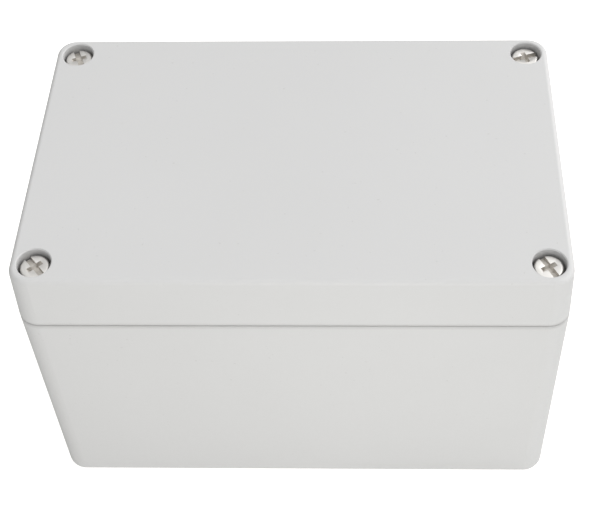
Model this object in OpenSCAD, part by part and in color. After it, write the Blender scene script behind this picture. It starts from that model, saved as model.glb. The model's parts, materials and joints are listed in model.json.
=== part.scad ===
// Sealed die cast aluminium enclosure with a deep base, a shallow lid, a gasket in a
// tongue-and-groove seam and four captive lid screws sunk in the lid's corners.
// The origin is at the centre of the underside. +X runs along the long side, the front
// is at -Y, and the lid lifts off along +Z.

/* [Enclosure] */
// Length of both castings at the seam
body_w = 160; // [150:1:220]
// Depth of both castings at the seam, front to back
body_d = 101; // [98:1:150]
// Height of the base, from the underside to the seam
base_h = 84.4; // [50:0.1:120]
// Height of the lid, from the seam to its top face
lid_h = 19.6; // [18.6:0.1:28]
// Radius of the four upright corners at the seam
corner_r = 6.7; // [6.4:0.1:7.4]
// Draft of the base's outer walls, in degrees
base_draft = 0.25; // [0.05:0.05:0.4]
// Draft of the lid's outer walls, in degrees
lid_draft = 2.3; // [0.5:0.1:2.6]
// Radius round the edge of the lid's top face
top_edge_r = 1.5; // [0.5:0.1:2]
// Radius round the edge of the underside
bottom_edge_r = 2.1; // [0.5:0.1:2.4]
// Radius of the base's outer edge at the seam
rim_edge_r = 0.8; // [0.2:0.1:1]
// Radius of the lid's outer edge at the seam
skirt_edge_r = 0.3; // [0.1:0.1:0.6]
// Height of the shadow gap that runs round the seam
seam_gap = 0.25; // [0.1:0.05:0.5]
// Depth of that gap, in from the castings' outer faces
seam_gap_depth = 1.2; // [1.1:0.1:1.4]

/* [Walls] */
// Thickness of the side walls at the seam
wall_t = 5.6; // [5.2:0.1:6.4]
// Thickness of the base's floor
floor_t = 4.5; // [3.5:0.1:7]
// Thickness of the lid's top
lid_top_t = 4; // [3:0.1:6]
// Radius of the cavity's upright corners
cavity_r = 4; // [3.2:0.1:5]
// Radius of the fillet along the floor, and under the lid's top
fillet_r = 2.5; // [1:0.1:3]
// Radius of the corner that each screw column turns to the cavity
column_r = 6; // [5.2:0.1:6.6]

/* [Seal] */
// Width of the groove in the lid that holds the gasket
groove_w = 2.6; // [2.2:0.1:2.8]
// Depth of that groove above the seam
groove_h = 3.2; // [2.6:0.1:4]
// Thickness of the lip between the groove and the cavity
lip_t = 1.3; // [1:0.1:1.5]
// Width of the tongue on the base's rim
tongue_w = 1.4; // [1:0.1:1.6]
// Height of the tongue above the seam
tongue_h = 1; // [0.6:0.1:1.4]

/* [Lid screws] */
// Distance of each lid screw from the outer faces at the seam
screw_inset = 7.7; // [7.5:0.1:8.2]
// Thread diameter of the lid screws
screw_d = 5; // [4:0.1:5.2]
// Diameter of the screw heads
head_d = 8.4; // [7.6:0.1:8.8]
// Height of the screw heads
head_h = 3.3; // [2.8:0.1:3.8]
// Depth of the head's top face below the lid's top face
head_sunk = 1.8; // [1:0.1:2.4]
// Diameter of the counterbore round each head
counterbore_d = 9.8; // [9.4:0.1:10.2]
// Width of the chamfer round the mouth of each counterbore
counterbore_edge = 0.3; // [0.1:0.1:0.4]
// Length of thread that a tightened screw has in the base
thread_in = 8.5; // [6.5:0.1:9]
// Thickness of the ring that keeps a screw in the lid
ring_t = 1.2; // [0.8:0.1:1.5]
// Outer diameter of that ring
ring_d = 8.6; // [7.8:0.1:9]
// Width of the long slot in the screw heads
slot_w = 1.8; // [0.8:0.1:2.2]
// Depth of that slot
slot_depth = 1.3; // [0.8:0.1:1.6]
// Length of the recess's short arms, across the slot
cross_l = 4.8; // [3.6:0.1:5.6]
// Width of those arms
arm_w = 1.5; // [0.8:0.1:2]

/* [Wall fixing holes] */
// Distance of each fixing hole from its lid screw, along the length
fixing_offset = 12.3; // [10:0.1:18]
// Diameter of the fixing holes in the underside
fixing_d = 5.5; // [4.5:0.1:6.5]
// Diameter of the wide bore that takes the fixing screw's head
fixing_head_d = 9.2; // [8:0.1:9.4]
// Thickness of the web that the fixing screw's head bears on
fixing_web_t = 8; // [5:0.1:12]

/* [Inside] */
// Distance of the floor bosses from the cavity's end walls
boss_inset_x = 8.4; // [6:0.1:12]
// Distance of the floor bosses from the screw columns' faces, front to back
boss_inset_y = 7.15; // [6:0.05:12]
// Diameter of the floor bosses
boss_d = 8; // [6.5:0.1:9]
// Height of the floor bosses above the floor
boss_h = 6; // [5:0.1:10]
// Tap drill diameter of the thread in the floor bosses
boss_thread_d = 3.3; // [2.5:0.1:4.2]
// Depth of the thread in the floor bosses
boss_thread_h = 8; // [5:0.1:8.5]
// Distance of the earth terminal from the cavity's end wall
earth_inset = 12.4; // [10:0.1:18]
// Diameter of the earth terminal's boss
earth_boss_d = 12; // [11:0.1:14]
// Thread diameter of the earth screw
earth_screw_d = 5; // [4:0.1:5.4]
// Outer diameter of the earth terminal's clamp washer
clamp_washer_d = 11; // [9.8:0.1:12]
// Outer diameter of the split spring washer
spring_washer_d = 9.2; // [8.4:0.1:9.6]
// Thickness of the clamp washer, and of the split spring washer
earth_washer_t = 1.2; // [0.8:0.1:1.6]
// Length of thread that the earth screw has in its boss
earth_thread_in = 6; // [4:0.1:7]

/* [Hidden] */
$fn = 96;

// Clearances on one side, and how far a cutting solid runs past a face
running = 0.05;
free = 0.35;
side_gap = 0.1;
cut = 1;

// Each corner's name, its side along X and Y, and the angle its screw's slot stopped at
corners = [
    ["front_left", -1, -1, -50],
    ["front_right", 1, -1, -62],
    ["rear_left", -1, 1, -69],
    ["rear_right", 1, 1, 19]
];

// Plan: the columns leave room for the seal between their bores and the cavity
screw_x = body_w / 2 - screw_inset;
screw_y = body_d / 2 - screw_inset;
fixing_x = screw_x - fixing_offset;
cavity_x = body_w / 2 - wall_t;
cavity_y = body_d / 2 - wall_t;
recess_r = ring_d / 2 + free;
bore_land = 1.1;
column_margin = max(fixing_head_d / 2, recess_r) + bore_land + groove_w + lip_t;
column_x = fixing_x - column_margin;
column_y = screw_y - column_margin;

// Lid screw stack, measured up from the seam
seat_z = lid_h - head_sunk - head_h;
ring_z = 0.3;
stroke = thread_in + 0.2;
recess_h = ring_z + ring_t + stroke + side_gap;
neck_r = screw_d / 2 - 0.4;
tip_chamfer = 0.6;
head_edge_r = 0.6;
cross_depth = 2.1;
mouth_chamfer = 0.4;
drill_spare = 2.5;
drill_point = 118;

// Earth terminal stack, measured up from the underside
earth_x = cavity_x - earth_inset;
earth_seat_z = floor_t + boss_h;

// Repeats its children in all four quarters of the plan
module quarters() {
    for (flip_x = [0, 1], flip_y = [0, 1])
        mirror([flip_x, 0, 0]) mirror([0, flip_y, 0]) children();
}

// A side wall's section from a corner's axis outwards, seam face down. r is its reach at
// the seam, and tangent arcs round its edge at the seam and its far edge.
module wall_section(r, h, draft, near_r, far_r) {
    near_x = r - tan(draft) * near_r - near_r / cos(draft);
    far_x = r - tan(draft) * (h - far_r) - far_r / cos(draft);
    polygon([
        [0, 0],
        [near_x, 0],
        [near_x + near_r * cos(draft), near_r * (1 + sin(draft))],
        [far_x + far_r * cos(draft), h - far_r * (1 - sin(draft))],
        [far_x, h],
        [0, h]
    ]);
    translate([near_x, near_r]) circle(near_r);
    translate([far_x, h - far_r]) circle(far_r);
}

// Carries a wall section round the castings' plan and fills the middle
module casting_block(h, draft, near_r, far_r) {
    for (turn = [0 : 3]) {
        along = (turn % 2 == 0 ? body_w : body_d) / 2 - corner_r;
        across = (turn % 2 == 0 ? body_d : body_w) / 2 - corner_r;
        rotate([0, 0, 90 * turn]) translate([along, across, 0]) {
            rotate_extrude(angle = 90) wall_section(corner_r, h, draft, near_r, far_r);
            rotate([90, 0, 0]) linear_extrude(2 * across)
                wall_section(corner_r, h, draft, near_r, far_r);
        }
    }
    translate([corner_r - body_w / 2, corner_r - body_d / 2, 0])
        cube([body_w - 2 * corner_r, body_d - 2 * corner_r, h]);
}

module rounded_rect(half_x, half_y, r) {
    square([2 * half_x, 2 * (half_y - r)], center = true);
    square([2 * (half_x - r), 2 * half_y], center = true);
    for (sx = [-1, 1], sy = [-1, 1])
        translate([sx * (half_x - r), sy * (half_y - r)]) circle(r);
}

// The cavity's plan, a cross that steps round the four columns, moved outwards by out
module cavity_plan(out = 0) {
    turn_r = column_r - out;
    rounded_rect(cavity_x + out, column_y + out, cavity_r + out);
    rounded_rect(column_x + out, cavity_y + out, cavity_r + out);
    quarters() translate([column_x + out, column_y + out]) difference() {
        square(turn_r);
        translate([turn_r, turn_r]) circle(turn_r);
    }
}

// A band of the seal's path, between two distances out from the cavity
module seal_band(inner, outer) {
    difference() {
        cavity_plan(outer);
        cavity_plan(inner);
    }
}

// Carries a section along a straight wall from a to b, with the cavity on its left
module along_wall(a, b) {
    translate([a.x, a.y, 0]) rotate([0, 0, atan2(b.y - a.y, b.x - a.x)])
        rotate([90, 0, 90]) linear_extrude(norm(b - a)) children();
}

// The fillet between the cavity's walls and its end face at z = 0, carried round the cross
module cavity_fillet() {
    bite = 0.3;
    turn = [column_x + column_r, column_y + column_r];
    end = [cavity_x - cavity_r, column_y - cavity_r];
    side = [column_x - cavity_r, cavity_y - cavity_r];
    module section() {
        difference() {
            translate([-bite, -bite]) square(fillet_r + bite);
            translate([fillet_r, fillet_r]) circle(fillet_r);
        }
    }
    module inside_corner() {
        rotate_extrude(angle = 90) translate([cavity_r, 0]) mirror([1, 0]) section();
    }
    quarters() {
        along_wall([cavity_x, 0], [cavity_x, end.y]) section();
        translate([end.x, end.y, 0]) inside_corner();
        along_wall([end.x, column_y], [turn.x, column_y]) section();
        translate([turn.x, turn.y, 0]) rotate([0, 0, 180])
            rotate_extrude(angle = 90) translate([column_r, 0]) section();
        along_wall([column_x, turn.y], [column_x, side.y]) section();
        translate([side.x, side.y, 0]) inside_corner();
        along_wall([side.x, cavity_y], [0, cavity_y]) section();
    }
}

// A blind tapped hole below z = 0, with a drill point
module tapped_hole(r, depth) {
    point_h = r / tan(drill_point / 2);
    translate([0, 0, -depth]) cylinder(r = r, h = depth + cut);
    translate([0, 0, -depth - point_h]) cylinder(r1 = 0, r2 = r, h = point_h);
}

module base() {
    tongue_in = lip_t + (groove_w - tongue_w) / 2;
    outer_h = base_h - seam_gap;
    color("gainsboro") difference() {
        union() {
            difference() {
                union() {
                    translate([0, 0, outer_h]) mirror([0, 0, 1])
                        casting_block(outer_h, base_draft, rim_edge_r, bottom_edge_r);
                    translate([0, 0, outer_h - cut]) linear_extrude(seam_gap + cut)
                        rounded_rect(body_w / 2 - seam_gap_depth, body_d / 2 - seam_gap_depth,
                            corner_r - seam_gap_depth);
                }
                translate([0, 0, floor_t]) linear_extrude(base_h) cavity_plan();
            }
            translate([0, 0, floor_t]) cavity_fillet();
            translate([0, 0, base_h - cut]) linear_extrude(cut + tongue_h)
                seal_band(tongue_in, tongue_in + tongue_w);
            quarters() translate([cavity_x - boss_inset_x, column_y - boss_inset_y, floor_t - cut])
                cylinder(d = boss_d, h = boss_h + cut);
            translate([earth_x, 0, floor_t - cut]) cylinder(d = earth_boss_d, h = boss_h + cut);
        }
        quarters() {
            translate([screw_x, screw_y, base_h]) {
                tapped_hole(screw_d / 2 + running, thread_in + drill_spare);
                translate([0, 0, -mouth_chamfer])
                    cylinder(d1 = screw_d, d2 = screw_d + 2 * mouth_chamfer, h = mouth_chamfer);
            }
            translate([fixing_x, screw_y, -cut]) cylinder(d = fixing_d, h = fixing_web_t + 2 * cut);
            translate([fixing_x, screw_y, fixing_web_t]) cylinder(d = fixing_head_d, h = base_h);
            translate([cavity_x - boss_inset_x, column_y - boss_inset_y, floor_t + boss_h])
                tapped_hole(boss_thread_d / 2, boss_thread_h);
        }
        translate([earth_x, 0, earth_seat_z])
            tapped_hole(earth_screw_d / 2 + running, earth_thread_in + drill_spare / 2);
    }
}

module lid() {
    ceiling = lid_h - lid_top_t;
    mouth_r = counterbore_d / 2;
    color("gainsboro") translate([0, 0, base_h]) difference() {
        union() {
            difference() {
                casting_block(lid_h, lid_draft, skirt_edge_r, top_edge_r);
                translate([0, 0, -cut]) linear_extrude(ceiling + cut) cavity_plan();
            }
            translate([0, 0, ceiling]) mirror([0, 0, 1]) cavity_fillet();
        }
        translate([0, 0, -cut]) linear_extrude(groove_h + cut) seal_band(lip_t, lip_t + groove_w);
        quarters() translate([screw_x, screw_y, 0]) {
            translate([0, 0, -cut]) cylinder(r = recess_r, h = recess_h + cut);
            cylinder(r = screw_d / 2 + free, h = lid_h);
            translate([0, 0, seat_z]) cylinder(d = counterbore_d, h = lid_h);
            translate([0, 0, lid_h - counterbore_edge])
                cylinder(r1 = mouth_r, r2 = mouth_r + 2 * counterbore_edge, h = 2 * counterbore_edge);
        }
    }
}

module gasket() {
    color("dimgray") translate([0, 0, base_h + tongue_h]) linear_extrude(groove_h - tongue_h)
        seal_band(lip_t + side_gap, lip_t + groove_w - side_gap);
}

// The recess in a screw's head below z = 0: a slot to the rim, and a tapered cross
module drive_recess() {
    translate([0, 0, cut / 2 - slot_depth / 2])
        cube([head_d + cut, slot_w, slot_depth + cut], center = true);
    intersection() {
        union() {
            cube([cross_l, slot_w, 2 * cross_depth], center = true);
            cube([arm_w, cross_l, 2 * cross_depth], center = true);
        }
        translate([0, 0, -cross_depth]) cylinder(r1 = slot_w / 2, r2 = cross_l / 2, h = cross_depth);
    }
}

// Half of a cheese head's section, standing on z
module head_section(z) {
    translate([0, z]) square([head_d / 2, head_h - head_edge_r]);
    translate([0, z]) square([head_d / 2 - head_edge_r, head_h]);
    translate([head_d / 2 - head_edge_r, z + head_h - head_edge_r]) circle(head_edge_r);
}

module lid_screw(corner) {
    thread_r = screw_d / 2;
    neck_low = ring_z - side_gap;
    neck_high = ring_z + ring_t + side_gap;
    color("silver") translate([corner[1] * screw_x, corner[2] * screw_y, base_h]) difference() {
        rotate_extrude() {
            head_section(seat_z);
            polygon([
                [0, -thread_in],
                [thread_r - tip_chamfer, -thread_in],
                [thread_r, tip_chamfer - thread_in],
                [thread_r, neck_low],
                [neck_r, neck_low],
                [neck_r, neck_high],
                [thread_r, neck_high],
                [thread_r, seat_z],
                [0, seat_z]
            ]);
        }
        translate([0, 0, seat_z + head_h]) rotate([0, 0, corner[3]]) drive_recess();
    }
}

module screw_ring(corner) {
    color("ivory") translate([corner[1] * screw_x, corner[2] * screw_y, base_h + ring_z])
        difference() {
            cylinder(d = ring_d, h = ring_t);
            translate([0, 0, -cut]) cylinder(r = neck_r + running, h = ring_t + 2 * cut);
        }
}

module earth_screw() {
    thread_r = earth_screw_d / 2;
    head_z = 2 * earth_washer_t;
    color("silver") translate([earth_x, 0, earth_seat_z]) difference() {
        rotate_extrude() {
            head_section(head_z);
            polygon([
                [0, -earth_thread_in],
                [thread_r - tip_chamfer, -earth_thread_in],
                [thread_r, tip_chamfer - earth_thread_in],
                [thread_r, head_z],
                [0, head_z]
            ]);
        }
        translate([0, 0, head_z + head_h]) drive_recess();
    }
}

module earth_spring_washer() {
    gap_w = 1;
    color("lightgray") translate([earth_x, 0, earth_seat_z + earth_washer_t]) difference() {
        cylinder(d = spring_washer_d, h = earth_washer_t);
        translate([0, 0, -cut]) cylinder(r = earth_screw_d / 2 + free, h = earth_washer_t + 2 * cut);
        translate([0, -gap_w / 2, -cut]) cube([spring_washer_d, gap_w, earth_washer_t + 2 * cut]);
    }
}

module earth_clamp_washer() {
    color("goldenrod") translate([earth_x, 0, earth_seat_z]) difference() {
        cylinder(d = clamp_washer_d, h = earth_washer_t);
        translate([0, 0, -cut]) cylinder(r = earth_screw_d / 2 + free, h = earth_washer_t + 2 * cut);
    }
}

base();
lid();
gasket();
for (corner = corners) {
    lid_screw(corner);
    screw_ring(corner);
}
earth_screw();
earth_spring_washer();
earth_clamp_washer();
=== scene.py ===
"""Looks of the sealed die cast aluminium enclosure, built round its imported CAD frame."""

import json
from math import pi, radians

import bmesh
import bpy
from mathutils import Euler, Matrix, Vector


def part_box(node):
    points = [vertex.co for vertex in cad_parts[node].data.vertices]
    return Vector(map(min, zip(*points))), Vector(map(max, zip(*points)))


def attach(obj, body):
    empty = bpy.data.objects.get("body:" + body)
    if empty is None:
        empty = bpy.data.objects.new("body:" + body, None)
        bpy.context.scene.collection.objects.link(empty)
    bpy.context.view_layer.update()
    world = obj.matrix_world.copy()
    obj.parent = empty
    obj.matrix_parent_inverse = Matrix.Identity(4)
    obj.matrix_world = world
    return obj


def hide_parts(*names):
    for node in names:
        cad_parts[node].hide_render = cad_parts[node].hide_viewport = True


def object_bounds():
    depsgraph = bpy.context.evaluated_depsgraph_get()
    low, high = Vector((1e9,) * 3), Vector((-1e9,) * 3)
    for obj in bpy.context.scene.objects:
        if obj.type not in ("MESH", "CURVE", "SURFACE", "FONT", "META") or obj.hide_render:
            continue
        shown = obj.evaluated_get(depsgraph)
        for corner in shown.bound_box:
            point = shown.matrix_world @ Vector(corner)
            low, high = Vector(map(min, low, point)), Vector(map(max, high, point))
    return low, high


MM = 0.001
UP = Vector((0, 0, 1))
CORNERS = ("front_left", "front_right", "rear_left", "rear_right")

# Threads: M5 in the screw columns and the earth boss, M4 in the floor bosses.
THREAD_PITCH = 0.8 * MM
BOSS_PITCH = 0.7 * MM
THREAD_BORE_REACH = 2.75 * MM
BOSS_BORE_REACH = 1.8 * MM

# The painted shade round the seam lies a little below it.
SEAM_LINE_DROP = 0.3 * MM
SEAM_LINE_CORE = 0.2 * MM
SEAM_LINE_FADE = 1.6 * MM
SEAM_LINE_SHARE = 0.28

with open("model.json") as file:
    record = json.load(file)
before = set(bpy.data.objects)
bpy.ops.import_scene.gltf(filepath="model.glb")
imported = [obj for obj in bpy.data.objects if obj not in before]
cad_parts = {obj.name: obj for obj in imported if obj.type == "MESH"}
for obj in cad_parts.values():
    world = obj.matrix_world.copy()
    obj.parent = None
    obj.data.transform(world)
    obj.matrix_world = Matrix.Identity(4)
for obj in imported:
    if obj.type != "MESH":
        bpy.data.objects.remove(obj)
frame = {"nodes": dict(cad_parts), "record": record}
cad_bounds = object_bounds()


# ---- Where the CAD says things are -------------------------------------------------

def centre_of(node):
    low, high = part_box(node)
    return (low + high) / 2


def mount(name):
    return next(m for m in frame["record"]["mounts"] if m["name"] == name)


seam_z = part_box("lid")[0].z
screw_axis = centre_of("lid_screw_front_right")
earth_axis = centre_of("earth_screw")
boss_spacing = mount("floor_bosses")["dims"]
boss_x = boss_spacing["spacing_x_mm"] * MM / 2
boss_y = boss_spacing["spacing_y_mm"] * MM / 2


# ---- Shader building blocks --------------------------------------------------------

def add(tree, kind, values=None, **settings):
    """Adds a node, sets its options and gives its input sockets their values."""
    made = tree.nodes.new(kind)
    for option, value in settings.items():
        setattr(made, option, value)
    for socket, value in (values or {}).items():
        made.inputs[socket].default_value = value
    return made


def math_node(tree, operation, first, second=None):
    made = add(tree, "ShaderNodeMath", operation=operation)
    for index, value in enumerate((first, second)):
        if value is None:
            continue
        if isinstance(value, bpy.types.NodeSocket):
            tree.links.new(value, made.inputs[index])
        else:
            made.inputs[index].default_value = value
    return made.outputs[0]


def length_node(tree, x, y):
    """How far the point (x, y) is from the origin."""
    squares = [math_node(tree, "MULTIPLY", side, side) for side in (x, y)]
    return math_node(tree, "SQRT", math_node(tree, "ADD", *squares))


def split_axes(tree, place):
    """The X, Y and Z of a position."""
    split = add(tree, "ShaderNodeSeparateXYZ")
    tree.links.new(place, split.inputs[0])
    return split.outputs


def noise(tree, place, scale, detail=2.0, roughness=0.5):
    made = add(tree, "ShaderNodeTexNoise",
               {"Scale": scale, "Detail": detail, "Roughness": roughness})
    tree.links.new(place, made.inputs["Vector"])
    return made.outputs["Fac"]


def ramp(tree, value, low, high, to_low=0.0, to_high=1.0):
    """Spreads the values between low and high over a new range, and clamps the rest."""
    made = add(tree, "ShaderNodeMapRange",
               {"From Min": low, "From Max": high, "To Min": to_low, "To Max": to_high})
    tree.links.new(value, made.inputs["Value"])
    return made.outputs["Result"]


def mix_colour(tree, factor, first, second):
    made = add(tree, "ShaderNodeMix", data_type="RGBA")
    for socket, value in (("Factor", factor), ("A", first), ("B", second)):
        slot = next(s for s in made.inputs if s.name == socket and s.enabled)
        if isinstance(value, bpy.types.NodeSocket):
            tree.links.new(value, slot)
        else:
            slot.default_value = value
    return next(s for s in made.outputs if s.enabled)


def shader_group(name, inputs, outputs):
    """An empty shader node group with named sockets, and its two end nodes."""
    group = bpy.data.node_groups.new(name, "ShaderNodeTree")
    for label, (kind, default) in inputs.items():
        socket = group.interface.new_socket(label, in_out="INPUT", socket_type=kind)
        if default is not None:
            socket.default_value = default
    for label, kind in outputs.items():
        group.interface.new_socket(label, in_out="OUTPUT", socket_type=kind)
    return group, group.nodes.new("NodeGroupInput"), group.nodes.new("NodeGroupOutput")


def use_group(tree, group, **inputs):
    """Places a group in a material. A socket's spaces are written as underscores."""
    made = add(tree, "ShaderNodeGroup", node_tree=group)
    for label, value in inputs.items():
        slot = made.inputs[label.replace("_", " ")]
        if isinstance(value, bpy.types.NodeSocket):
            tree.links.new(value, slot)
        else:
            slot.default_value = value
    return made


FLOAT, VECTOR = "NodeSocketFloat", "NodeSocketVector"
EDGE_CREST_COSINE = 0.86
SPECK_FROM, SPECK_FULL = 0.84, 0.88
OPEN_SKY, SHUT_IN = 0.75, 0.15


def make_edge_mask():
    """Where a surface turns over a sharp edge: 0 on the flat, 1 along the edge's crest."""
    group, start, end = shader_group(
        "edge_mask", {"Width": (FLOAT, 0.001), "Strength": (FLOAT, 1.0)}, {"Edge": FLOAT})
    rounded = add(group, "ShaderNodeBevel", samples=4)
    flat = add(group, "ShaderNodeNewGeometry")
    compare = add(group, "ShaderNodeVectorMath", operation="DOT_PRODUCT")
    group.links.new(start.outputs["Width"], rounded.inputs["Radius"])
    group.links.new(rounded.outputs["Normal"], compare.inputs[0])
    group.links.new(flat.outputs["Normal"], compare.inputs[1])
    turned = ramp(group, compare.outputs["Value"], 1.0, EDGE_CREST_COSINE)
    group.links.new(math_node(group, "MULTIPLY", turned, start.outputs["Strength"]),
                    end.inputs["Edge"])
    return group


def make_grain():
    """A sprayed or sanded surface: fine grain, wide cloudy patches and rare specks."""
    group, start, end = shader_group(
        "surface_grain",
        {"Position": (VECTOR, None), "Grain Scale": (FLOAT, 1500.0),
         "Patch Scale": (FLOAT, 20.0)},
        {"Height": FLOAT, "Patches": FLOAT, "Specks": FLOAT})
    place = start.outputs["Position"]

    def scaled(amount):
        made = add(group, "ShaderNodeVectorMath", operation="SCALE")
        group.links.new(place, made.inputs[0])
        group.links.new(amount, made.inputs["Scale"])
        return made.outputs["Vector"]

    fine = scaled(start.outputs["Grain Scale"])
    grain = noise(group, fine, 1.0, detail=3.0, roughness=0.6)
    broad = noise(group, fine, 0.35, detail=1.0)
    height = math_node(group, "ADD", math_node(group, "MULTIPLY", grain, 0.7),
                       math_node(group, "MULTIPLY", broad, 0.3))
    patches = noise(group, scaled(start.outputs["Patch Scale"]), 1.0, detail=3.0)
    specks = ramp(group, noise(group, fine, 0.5, detail=0.0), SPECK_FROM, SPECK_FULL)
    group.links.new(height, end.inputs["Height"])
    group.links.new(patches, end.inputs["Patches"])
    group.links.new(specks, end.inputs["Specks"])
    return group


def make_turned_marks():
    """Fine rings round the model's own upright axis, faint lines on a screw's head."""
    group, start, end = shader_group(
        "turned_marks", {"Position": (VECTOR, None), "Rings Per Metre": (FLOAT, 9000.0)},
        {"Height": FLOAT})
    x, y, z = split_axes(group, start.outputs["Position"])
    along = math_node(group, "ADD", length_node(group, x, y), z)
    turns = math_node(group, "MULTIPLY", along, start.outputs["Rings Per Metre"])
    ring = math_node(group, "SINE", turns)
    group.links.new(ring, end.inputs["Height"])
    return group


def build_shade_in_hollows():
    """Painted shade where less light gets in: 1 deep in a recess or corner, 0 in the open.
    """
    group, start, end = shader_group("shade_in_hollows", {"Reach": (FLOAT, 0.003)}, {"Depth": FLOAT})
    shut_in = add(group, "ShaderNodeAmbientOcclusion", samples=8)
    group.links.new(start.outputs["Reach"], shut_in.inputs["Distance"])
    group.links.new(ramp(group, shut_in.outputs["AO"], OPEN_SKY, SHUT_IN),
                    end.inputs["Depth"])
    return group


def make_tapped_bores():
    """Cut threads in the base's bores: where the metal is bare, and its ridges' height."""
    group, start, end = shader_group(
        "tapped_bores", {"Position": (VECTOR, None)}, {"Bare": FLOAT, "Ridge": FLOAT})
    x, y, z = split_axes(group, start.outputs["Position"])

    def from_nearest(axis, distance):
        """How far a point is from the nearer of two bores, on either side of the middle."""
        past = math_node(group, "SUBTRACT", math_node(group, "ABSOLUTE", axis), distance)
        return math_node(group, "MULTIPLY", past, math_node(group, "SIGN", axis))

    bores = (
        (from_nearest(x, screw_axis.x), from_nearest(y, abs(screw_axis.y)),
         THREAD_BORE_REACH, THREAD_PITCH),
        (from_nearest(x, boss_x), from_nearest(y, boss_y), BOSS_BORE_REACH, BOSS_PITCH),
        (math_node(group, "SUBTRACT", x, earth_axis.x), y, THREAD_BORE_REACH, THREAD_PITCH),
    )
    bare = ridge = 0.0
    for off_x, off_y, reach, pitch in bores:
        within = math_node(group, "LESS_THAN", length_node(group, off_x, off_y), reach)
        turn = math_node(group, "ARCTAN2", off_y, off_x)
        climb = math_node(group, "MULTIPLY", z, 2 * pi / pitch)
        wave = math_node(group, "SINE", math_node(group, "SUBTRACT", climb, turn))
        bare = math_node(group, "MAXIMUM", within, bare)
        ridge = math_node(group, "ADD", math_node(group, "MULTIPLY", wave, within), ridge)
    group.links.new(bare, end.inputs["Bare"])
    group.links.new(ridge, end.inputs["Ridge"])
    return group


edge_mask = make_edge_mask()
surface_grain = make_grain()
turned_marks = make_turned_marks()
shade_in_hollows = build_shade_in_hollows()
tapped_bores = make_tapped_bores()


def new_material(name, **constants):
    """A material whose Principled shader holds every constant on its own sockets."""
    material = bpy.data.materials.new(name)
    material.use_nodes = True
    tree = material.node_tree
    principled = tree.nodes["Principled BSDF"]
    for label, value in constants.items():
        principled.inputs[label.replace("_", " ")].default_value = value
    place = add(tree, "ShaderNodeTexCoord").outputs["Object"]
    return material, tree, principled, place


def bump(tree, principled, height, distance, strength=1.0):
    made = add(tree, "ShaderNodeBump", {"Strength": strength, "Distance": distance})
    tree.links.new(height, made.inputs["Height"])
    tree.links.new(made.outputs["Normal"], principled.inputs["Normal"])


# ---- Finishes ----------------------------------------------------------------------

def make_powder_coat(name, tapped=False):
    """Light grey polyester powder with a fine texture, with painted shade along its sharp
    edges, along the seam and in the corners.

    The base's tapped bores are cut after coating, so they are bare and ridged."""
    material, tree, principled, place = new_material(name, Roughness=0.5)
    principled.inputs["Specular IOR Level"].default_value = 0.4
    grain = use_group(tree, surface_grain, Position=place, Grain_Scale=2200.0,
                      Patch_Scale=14.0)
    edge = use_group(tree, edge_mask, Width=0.7 * MM, Strength=0.5).outputs["Edge"]
    hollow_shade = use_group(tree, shade_in_hollows, Reach=2.5 * MM).outputs["Depth"]
    shade = mix_colour(tree, ramp(tree, grain.outputs["Patches"], 0.3, 0.7),
                       (0.550, 0.550, 0.548, 1), (0.562, 0.562, 0.560, 1))
    shade = mix_colour(tree, math_node(tree, "MULTIPLY", grain.outputs["Height"], 0.2),
                       shade, (0.515, 0.514, 0.510, 1))
    shade = mix_colour(tree, math_node(tree, "MULTIPLY", grain.outputs["Specks"], 0.25),
                       shade, (0.36, 0.35, 0.34, 1))
    # Painted shade: the coat is darker along its rounded edges, where less light falls.
    shade = mix_colour(tree, edge, shade, (0.475, 0.473, 0.468, 1))
    # Painted shade: a dark band just below the seam, plus darkening in recesses and
    # corners, mixed towards dark grey.
    from_seam = math_node(tree, "ABSOLUTE", math_node(
        tree, "SUBTRACT", split_axes(tree, place)["Z"], seam_z - SEAM_LINE_DROP))
    seam_shade_line = ramp(tree, from_seam, SEAM_LINE_FADE, SEAM_LINE_CORE, 0.0, SEAM_LINE_SHARE)
    painted_shade = math_node(tree, "ADD", math_node(tree, "MULTIPLY", hollow_shade, 0.5), seam_shade_line)
    shade = mix_colour(tree, painted_shade, shade, (0.20, 0.19, 0.185, 1))
    rough = ramp(tree, grain.outputs["Height"], 0.35, 0.65, 0.44, 0.6)
    height = grain.outputs["Height"]
    if tapped:
        bores = use_group(tree, tapped_bores, Position=place)
        bare = bores.outputs["Bare"]
        shade = mix_colour(tree, bare, shade, (0.66, 0.66, 0.65, 1))
        rough = math_node(tree, "SUBTRACT", rough, math_node(tree, "MULTIPLY", bare, 0.2))
        height = math_node(tree, "ADD", height,
                           math_node(tree, "MULTIPLY", bores.outputs["Ridge"], 4.0))
        tree.links.new(bare, principled.inputs["Metallic"])
    tree.links.new(shade, principled.inputs["Base Color"])
    tree.links.new(rough, principled.inputs["Roughness"])
    bump(tree, principled, height, 0.05 * MM, 0.45)
    return material


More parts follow.
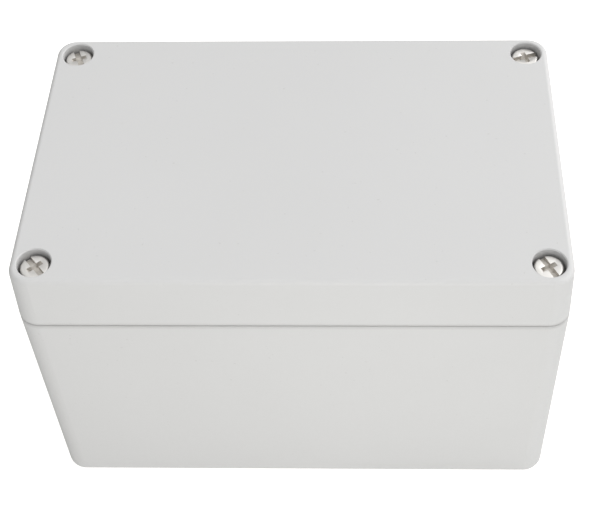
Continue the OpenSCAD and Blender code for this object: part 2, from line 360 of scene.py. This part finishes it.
def make_steel(name, dull, bright, smooth, rough):
    """Stainless steel: fine machining lines, painted shade in recesses and smoother,
    lighter edges.
    """
    material, tree, principled, place = new_material(name, Metallic=1.0)
    turned = use_group(tree, turned_marks, Position=place)
    grain = use_group(tree, surface_grain, Position=place, Grain_Scale=5200.0,
                      Patch_Scale=400.0)
    edge = use_group(tree, edge_mask, Width=0.12 * MM, Strength=0.8).outputs["Edge"]
    hollow_shade = use_group(tree, shade_in_hollows, Reach=1.2 * MM).outputs["Depth"]
    shade = mix_colour(tree, grain.outputs["Patches"], dull, bright)
    shade = mix_colour(tree, edge, shade, (0.88, 0.87, 0.85, 1))
    # Painted shade: the steel is darkened in recesses, where less light reaches.
    shade = mix_colour(tree, math_node(tree, "MULTIPLY", hollow_shade, 0.7), shade,
                       (0.16, 0.15, 0.135, 1))
    tree.links.new(shade, principled.inputs["Base Color"])
    spread = ramp(tree, grain.outputs["Patches"], 0.3, 0.7, smooth, rough)
    polish = math_node(tree, "MULTIPLY", edge, 0.1)
    tree.links.new(math_node(tree, "SUBTRACT", spread, polish),
                   principled.inputs["Roughness"])
    rings = math_node(tree, "MULTIPLY", turned.outputs["Height"], 0.3)
    height = math_node(tree, "ADD", rings, grain.outputs["Height"])
    bump(tree, principled, height, 0.006 * MM, 0.5)
    return material


def make_rubber():
    """Matte black moulded rubber, faintly dusty, with worn grey edges."""
    material, tree, principled, place = new_material("gasket_rubber", Roughness=0.85)
    principled.inputs["Specular IOR Level"].default_value = 0.3
    grain = use_group(tree, surface_grain, Position=place, Grain_Scale=3000.0,
                      Patch_Scale=60.0)
    edge = use_group(tree, edge_mask, Width=0.3 * MM, Strength=0.5).outputs["Edge"]
    shade = mix_colour(tree, grain.outputs["Patches"],
                       (0.022, 0.022, 0.024, 1), (0.045, 0.045, 0.047, 1))
    shade = mix_colour(tree, edge, shade, (0.085, 0.085, 0.085, 1))
    tree.links.new(shade, principled.inputs["Base Color"])
    tree.links.new(ramp(tree, grain.outputs["Height"], 0.3, 0.7, 0.75, 0.92),
                   principled.inputs["Roughness"])
    bump(tree, principled, grain.outputs["Height"], 0.05 * MM, 0.5)
    return material


def make_nylon():
    """Natural nylon: milky, with lighter edges painted as if light shone through, finely
    moulded.
    """
    material, tree, principled, place = new_material("nylon", Roughness=0.5)
    grain = use_group(tree, surface_grain, Position=place, Grain_Scale=4000.0,
                      Patch_Scale=300.0)
    edge = use_group(tree, edge_mask, Width=0.2 * MM, Strength=0.7).outputs["Edge"]
    shade = mix_colour(tree, grain.outputs["Patches"],
                       (0.66, 0.63, 0.55, 1), (0.72, 0.69, 0.61, 1))
    # Painted light: the edges are lighter, standing in for light showing through thin
    # nylon.
    shade = mix_colour(tree, edge, shade, (0.80, 0.78, 0.72, 1))
    tree.links.new(shade, principled.inputs["Base Color"])
    tree.links.new(ramp(tree, grain.outputs["Height"], 0.3, 0.7, 0.42, 0.6),
                   principled.inputs["Roughness"])
    bump(tree, principled, grain.outputs["Height"], 0.02 * MM, 0.4)
    return material


def make_brass():
    """Satin brass, a little tarnished away from its edges."""
    material, tree, principled, place = new_material("brass", Metallic=1.0, Roughness=0.35)
    grain = use_group(tree, surface_grain, Position=place, Grain_Scale=4500.0,
                      Patch_Scale=350.0)
    edge = use_group(tree, edge_mask, Width=0.15 * MM, Strength=0.8).outputs["Edge"]
    shade = mix_colour(tree, grain.outputs["Patches"],
                       (0.62, 0.45, 0.19, 1), (0.75, 0.58, 0.27, 1))
    shade = mix_colour(tree, edge, shade, (0.86, 0.72, 0.42, 1))
    tree.links.new(shade, principled.inputs["Base Color"])
    tree.links.new(ramp(tree, grain.outputs["Patches"], 0.3, 0.7, 0.28, 0.45),
                   principled.inputs["Roughness"])
    bump(tree, principled, grain.outputs["Height"], 0.01 * MM, 0.4)
    return material


# ---- Screws ------------------------------------------------------------------------

THREAD_R = 2.5 * MM
THREAD_ROOT_R = 2.05 * MM
RIDGE_FOOT, RIDGE_CREST = 0.44, 0.07  # half widths of the ridge, in pitches
RIDGE_SUNK = 0.1 * MM
RUNOUT = 0.25 * MM
THREAD_INSET = 0.55 * MM
EARTH_SHANK = 0.5 * MM
EARTH_RUNOUT_END = 0.8 * MM
EARTH_THREAD_END = 1.0 * MM
NECK_R = 2.1 * MM
NECK_PLAY = 0.1 * MM
TIP_CHAMFER = 0.6 * MM
HEAD_H = 3.3 * MM
SEAT_GAP = 0.02 * MM
SEAT_CHAMFER = 0.1 * MM
HEAD_EDGE_R = 0.6 * MM
HEAD_EDGE_STEPS = 6
SLOT_W = 1.8 * MM
ARM_W = 1.5 * MM
SLOT_DEPTH = 1.3 * MM
CROSS_LENGTH = 4.8 * MM
CROSS_DEPTH = 2.1 * MM
CROSS_FOOT = 0.35  # an arm's length at its foot, as a share of its length on top
CUTTER_OVER = 0.5 * MM
CUTTER_STRETCH = 1.14  # brings a tapered arm to CROSS_LENGTH at the head's face
RECESS_CORNER_R = 0.45 * MM
SHARP_EDGE_R = 0.08 * MM
NEAR = 0.02 * MM
FLAT_ANGLE = radians(0.5)
SHARP_ANGLE = radians(40)
SMOOTH_ANGLE = radians(35)
AROUND = 64


def turn_profile(points):
    """Spins a half section of (radius, height) points into a closed solid of revolution."""
    mesh = bmesh.new()
    made = [mesh.verts.new((radius, 0, height)) for radius, height in points]
    edges = [mesh.edges.new(pair) for pair in zip(made, made[1:])]
    bmesh.ops.spin(mesh, geom=made + edges, cent=(0, 0, 0), axis=UP, angle=2 * pi,
                   steps=AROUND, use_merge=True)
    bmesh.ops.remove_doubles(mesh, verts=mesh.verts[:], dist=0.001 * MM)
    bmesh.ops.recalc_face_normals(mesh, faces=mesh.faces[:])
    return mesh


def thread_ridge(low, high):
    """One helical ridge between two heights, its ends sunk into the screw's core."""
    mesh = bmesh.new()
    sunk = THREAD_ROOT_R - RIDGE_SUNK
    section = [(sunk, -RIDGE_FOOT), (THREAD_R, -RIDGE_CREST), (THREAD_R, RIDGE_CREST),
               (sunk, RIDGE_FOOT)]
    corners = [mesh.verts.new((r, 0, low + z * THREAD_PITCH)) for r, z in section]
    face = mesh.faces.new(corners)
    turns = (high - low) / THREAD_PITCH
    steps = round(turns * AROUND)
    bmesh.ops.spin(mesh, geom=[face, *face.edges, *corners], cent=(0, 0, 0), axis=UP,
                   dvec=UP * (high - low) / steps, angle=2 * pi * turns, steps=steps)
    open_edges = [e for e in mesh.edges if e.is_boundary]
    if open_edges:
        bmesh.ops.holes_fill(mesh, edges=open_edges, sides=4)
    bmesh.ops.recalc_face_normals(mesh, faces=mesh.faces[:])
    return mesh


def box_mesh(size, centre, foot=1.0):
    """A block whose underside is foot times as long in X as its top."""
    mesh = bmesh.new()
    bmesh.ops.create_cube(mesh, size=1.0)
    for vert in mesh.verts:
        if vert.co.z < 0:
            vert.co.x *= foot
    bmesh.ops.scale(mesh, vec=size, verts=mesh.verts[:])
    bmesh.ops.translate(mesh, vec=centre, verts=mesh.verts[:])
    return mesh


def to_object(mesh, name):
    data = bpy.data.meshes.new(name)
    mesh.to_mesh(data)
    mesh.free()
    made = bpy.data.objects.new(name, data)
    bpy.context.scene.collection.objects.link(made)
    return made


def cut_away(made, cutters):
    """Cuts each cutter's shape out of an object, and removes the cutters."""
    for cutter in cutters:
        step = made.modifiers.new(cutter.name, "BOOLEAN")
        step.operation, step.object, step.solver = "DIFFERENCE", cutter, "EXACT"
    graph = bpy.context.evaluated_depsgraph_get()
    result = bpy.data.meshes.new_from_object(made.evaluated_get(graph))
    made.modifiers.clear()
    made.data = result
    for cutter in cutters:
        bpy.data.objects.remove(cutter)


def round_edges(mesh, edges, width, segments):
    bmesh.ops.bevel(mesh, geom=edges, offset=width, offset_type="OFFSET", segments=segments,
                    profile=0.5, material=-1, affect="EDGES", clamp_overlap=True)


def finish_head(made, top):
    """Rounds the recess's four inner corners, then every sharp edge a little, and gives
    the recess's own faces the second material, a darker steel that paints the recess's
    shade."""
    mesh = bmesh.new()
    mesh.from_mesh(made.data)
    bmesh.ops.remove_doubles(mesh, verts=mesh.verts[:], dist=0.002 * MM)
    bmesh.ops.dissolve_limit(mesh, angle_limit=FLAT_ANGLE, verts=mesh.verts[:],
                             edges=mesh.edges[:])
    corners = [e for e in mesh.edges if all(
        abs(abs(v.co.x) - ARM_W / 2) < NEAR and abs(abs(v.co.y) - SLOT_W / 2) < NEAR
        for v in e.verts)]
    round_edges(mesh, corners, RECESS_CORNER_R, 4)
    sharp = [e for e in mesh.edges if e.is_manifold and e.calc_face_angle() > SHARP_ANGLE]
    round_edges(mesh, sharp, SHARP_EDGE_R, 2)
    for face in mesh.faces:
        x, y, z = face.calc_center_median()
        in_slot = abs(y) < SLOT_W / 2 + NEAR
        in_arm = abs(x) < ARM_W / 2 + NEAR and abs(y) < CROSS_LENGTH / 2
        below = top - CROSS_DEPTH - NEAR < z < top - 2 * NEAR
        face.material_index = 1 if below and (in_slot or in_arm) else 0
    mesh.to_mesh(made.data)
    mesh.free()


def screw_body(stack):
    """A turned screw: stack holds its tip, neck, seat and top heights from its origin."""
    head_r, top = stack["head_r"], stack["top"]
    points = [(0, stack["tip"]), (THREAD_R - TIP_CHAMFER, stack["tip"]),
              (THREAD_ROOT_R, stack["tip"] + TIP_CHAMFER)]
    if "neck" in stack:
        low, high = stack["neck"]
        points += [(THREAD_ROOT_R, low - 2 * RUNOUT), (THREAD_R, low - RUNOUT),
                   (THREAD_R, low), (NECK_R, low), (NECK_R, high), (THREAD_R, high)]
    else:
        points += [(THREAD_ROOT_R, stack["seat"] - EARTH_RUNOUT_END),
                   (THREAD_R, stack["seat"] - EARTH_SHANK)]
    points += [(THREAD_R, stack["seat"]), (head_r - SEAT_CHAMFER, stack["seat"]),
               (head_r, stack["seat"] + SEAT_CHAMFER)]
    for step in range(HEAD_EDGE_STEPS + 1):
        turn = Matrix.Rotation(-step / HEAD_EDGE_STEPS * pi / 2, 2)
        out, rise = turn @ Vector((-HEAD_EDGE_R, 0))
        points.append((head_r - HEAD_EDGE_R - out, top - HEAD_EDGE_R + rise))
    points.append((0, top))
    return turn_profile(points)


def make_screw(name, stack, axis, origin_z, slot_angle, body):
    """A slotted cross-recess cheese head screw on its own axis, threaded to its neck."""
    screw = to_object(screw_body(stack), name)
    top = stack["top"]
    slot = to_object(box_mesh(
        (2 * stack["head_r"] + CUTTER_OVER, SLOT_W, SLOT_DEPTH + CUTTER_OVER),
        (0, 0, top + (CUTTER_OVER - SLOT_DEPTH) / 2)), "slot_cutter")
    arms = []
    for turn, width in ((0, SLOT_W), (pi / 2, ARM_W)):
        arm = box_mesh((CUTTER_STRETCH * CROSS_LENGTH, width, CROSS_DEPTH + CUTTER_OVER),
                       (0, 0, top + (CUTTER_OVER - CROSS_DEPTH) / 2), CROSS_FOOT)
        bmesh.ops.rotate(arm, cent=(0, 0, 0), matrix=Matrix.Rotation(turn, 3, "Z"),
                         verts=arm.verts[:])
        arms.append(to_object(arm, "arm_cutter"))
    cut_away(screw, [slot, *arms])
    screw.data.materials.append(steel)
    screw.data.materials.append(recess_shade_steel)
    finish_head(screw, top)
    mesh = bmesh.new()
    mesh.from_mesh(screw.data)
    ridge = bpy.data.meshes.new("ridge")
    if "neck" in stack:
        high = stack["neck"][0] - THREAD_INSET
    else:
        high = stack["seat"] - EARTH_THREAD_END
    coil = thread_ridge(stack["tip"] + THREAD_INSET, high)
    coil.to_mesh(ridge)
    coil.free()
    mesh.from_mesh(ridge)
    bpy.data.meshes.remove(ridge)
    bmesh.ops.rotate(mesh, cent=(0, 0, 0), matrix=Matrix.Rotation(slot_angle, 3, "Z"),
                     verts=mesh.verts[:])
    bmesh.ops.translate(mesh, vec=(axis.x, axis.y, origin_z), verts=mesh.verts[:])
    mesh.to_mesh(screw.data)
    mesh.free()
    screw.data.shade_smooth()
    screw.data.set_sharp_from_angle(angle=SMOOTH_ANGLE)
    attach(screw, body)
    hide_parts(name)
    screw.name = name + "_detailed"


# ---- Assembly ----------------------------------------------------------------------

powder_coat = make_powder_coat("powder_coat")
tapped_coat = make_powder_coat("powder_coat_tapped", tapped=True)
steel = make_steel("stainless_steel", dull=(0.68, 0.665, 0.64, 1),
                   bright=(0.75, 0.735, 0.71, 1), smooth=0.34, rough=0.46)
# A darker, rougher copy of the steel for the drive recess: painted shade where its walls
# shut out light.
recess_shade_steel = make_steel("recess_shade_steel", dull=(0.56, 0.535, 0.50, 1),
                          bright=(0.68, 0.655, 0.615, 1), smooth=0.55, rough=0.7)
rubber = make_rubber()
nylon = make_nylon()
brass = make_brass()

finishes = {
    "base": tapped_coat, "lid": powder_coat, "gasket": rubber,
    "earth_spring_washer": steel, "earth_clamp_washer": brass,
    **{f"screw_ring_{corner}": nylon for corner in CORNERS},
}
for node, finish in finishes.items():
    data = frame["nodes"][node].data
    data.materials.clear()
    data.materials.append(finish)

SLOT_ANGLES = {"front_left": -50, "front_right": -62, "rear_left": -69, "rear_right": 19}
for corner in CORNERS:
    node = f"lid_screw_{corner}"
    low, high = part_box(node)
    ring_low, ring_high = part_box(f"screw_ring_{corner}")
    stack = {
        "tip": low.z - seam_z, "top": high.z - seam_z,
        "seat": high.z - seam_z - HEAD_H + SEAT_GAP, "head_r": (high.x - low.x) / 2,
        "neck": (ring_low.z - seam_z - NECK_PLAY, ring_high.z - seam_z + NECK_PLAY),
    }
    make_screw(node, stack, centre_of(node), seam_z, radians(SLOT_ANGLES[corner]), node)

low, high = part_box("earth_screw")
earth_stack = {"tip": 0, "top": high.z - low.z, "seat": high.z - low.z - HEAD_H + SEAT_GAP,
               "head_r": (high.x - low.x) / 2}
make_screw("earth_screw", earth_stack, earth_axis, low.z, 0, "earth_screw")


# ---- Floor, lights and camera ------------------------------------------------------

FLOOR_GLOW = 0.42
FLOOR_GLOW_SEEN = 0.9
FLOOR_RADIUS = 4.0


def make_floor():
    """A pale light table. It looks whiter than it lights, so it shows hardly any shadow."""
    material, tree, principled, place = new_material("studio_floor", Roughness=0.9)
    shade = mix_colour(tree, noise(tree, place, 3.0),
                       (0.36, 0.36, 0.355, 1), (0.38, 0.38, 0.375, 1))
    tree.links.new(shade, principled.inputs["Base Color"])
    principled.inputs["Emission Color"].default_value = (1.0, 0.995, 0.97, 1)
    seen = add(tree, "ShaderNodeLightPath").outputs["Is Camera Ray"]
    tree.links.new(ramp(tree, seen, 0.0, 1.0, FLOOR_GLOW, FLOOR_GLOW_SEEN),
                   principled.inputs["Emission Strength"])
    mesh = bmesh.new()
    bmesh.ops.create_circle(mesh, cap_ends=True, radius=FLOOR_RADIUS, segments=AROUND)
    floor = to_object(mesh, "studio_floor")
    floor.data.materials.append(material)


def make_studio_dome(above, right):
    """Soft light that grows towards the zenith and towards +X, and is seen as white."""
    world = bpy.data.worlds.new("studio_dome")
    world.use_nodes = True
    tree = world.node_tree
    towards = split_axes(tree, add(tree, "ShaderNodeTexCoord").outputs["Generated"])
    shares = [math_node(tree, "MULTIPLY", towards[axis], share)
              for axis, share in (("Z", above), ("X", right))]
    parts = [math_node(tree, "MAXIMUM", share, 0.0) for share in shares]
    seen = add(tree, "ShaderNodeLightPath").outputs["Is Camera Ray"]
    dome = math_node(tree, "MAXIMUM", math_node(tree, "ADD", *parts), seen)
    backdrop = tree.nodes["Background"]
    backdrop.inputs["Color"].default_value = (1.0, 1.0, 1.0, 1)
    tree.links.new(dome, backdrop.inputs["Strength"])
    bpy.context.scene.world = world


def add_softbox(name, place, size, power, colour=(1, 1, 1)):
    """A square lamp aimed at the middle of the box, itself out of the camera's sight."""
    data = bpy.data.lights.new(name, "AREA")
    data.shape, data.size, data.energy, data.color = "SQUARE", size, power, colour
    made = bpy.data.objects.new(name, data)
    made.location = place
    aim = (cad_bounds[0] + cad_bounds[1]) / 2 - Vector(place)
    made.rotation_euler = aim.to_track_quat("-Z", "Y").to_euler()
    made.visible_camera = False
    bpy.context.scene.collection.objects.link(made)


make_floor()
make_studio_dome(above=1.02, right=0.9)
add_softbox("front_softbox", (0.036, -0.36, 0.10), 0.15, 0.447, (1.0, 0.995, 0.975))
add_softbox("upper_front_softbox", (0.05, -0.5, 0.9), 0.5, 0.95)
add_softbox("overhead_softbox", (0.02, 0.02, 0.72), 0.4, 0.28)
add_softbox("upper_rear_softbox", (0.10, 0.45, 0.75), 0.9, 0.25)
add_softbox("right_rear_softbox", (0.92, 0.72, 0.73), 0.8, 7.5)

view = bpy.context.scene.view_settings
view.view_transform = "Standard"
view.look = "None"

camera_data = bpy.data.cameras.new("camera")
camera_data.lens = 77.75
camera_data.sensor_width = 36.0
camera_data.shift_x = -0.0594
camera_data.shift_y = -0.0931
camera_data.clip_start = 0.01
camera_data.clip_end = 20.0
camera = bpy.data.objects.new("camera", camera_data)
camera.location = (0.02248, -0.26620, 0.38912)
camera.rotation_euler = Euler((radians(40.923), radians(1.189), radians(0.986)))
bpy.context.scene.collection.objects.link(camera)
bpy.context.scene.camera = camera
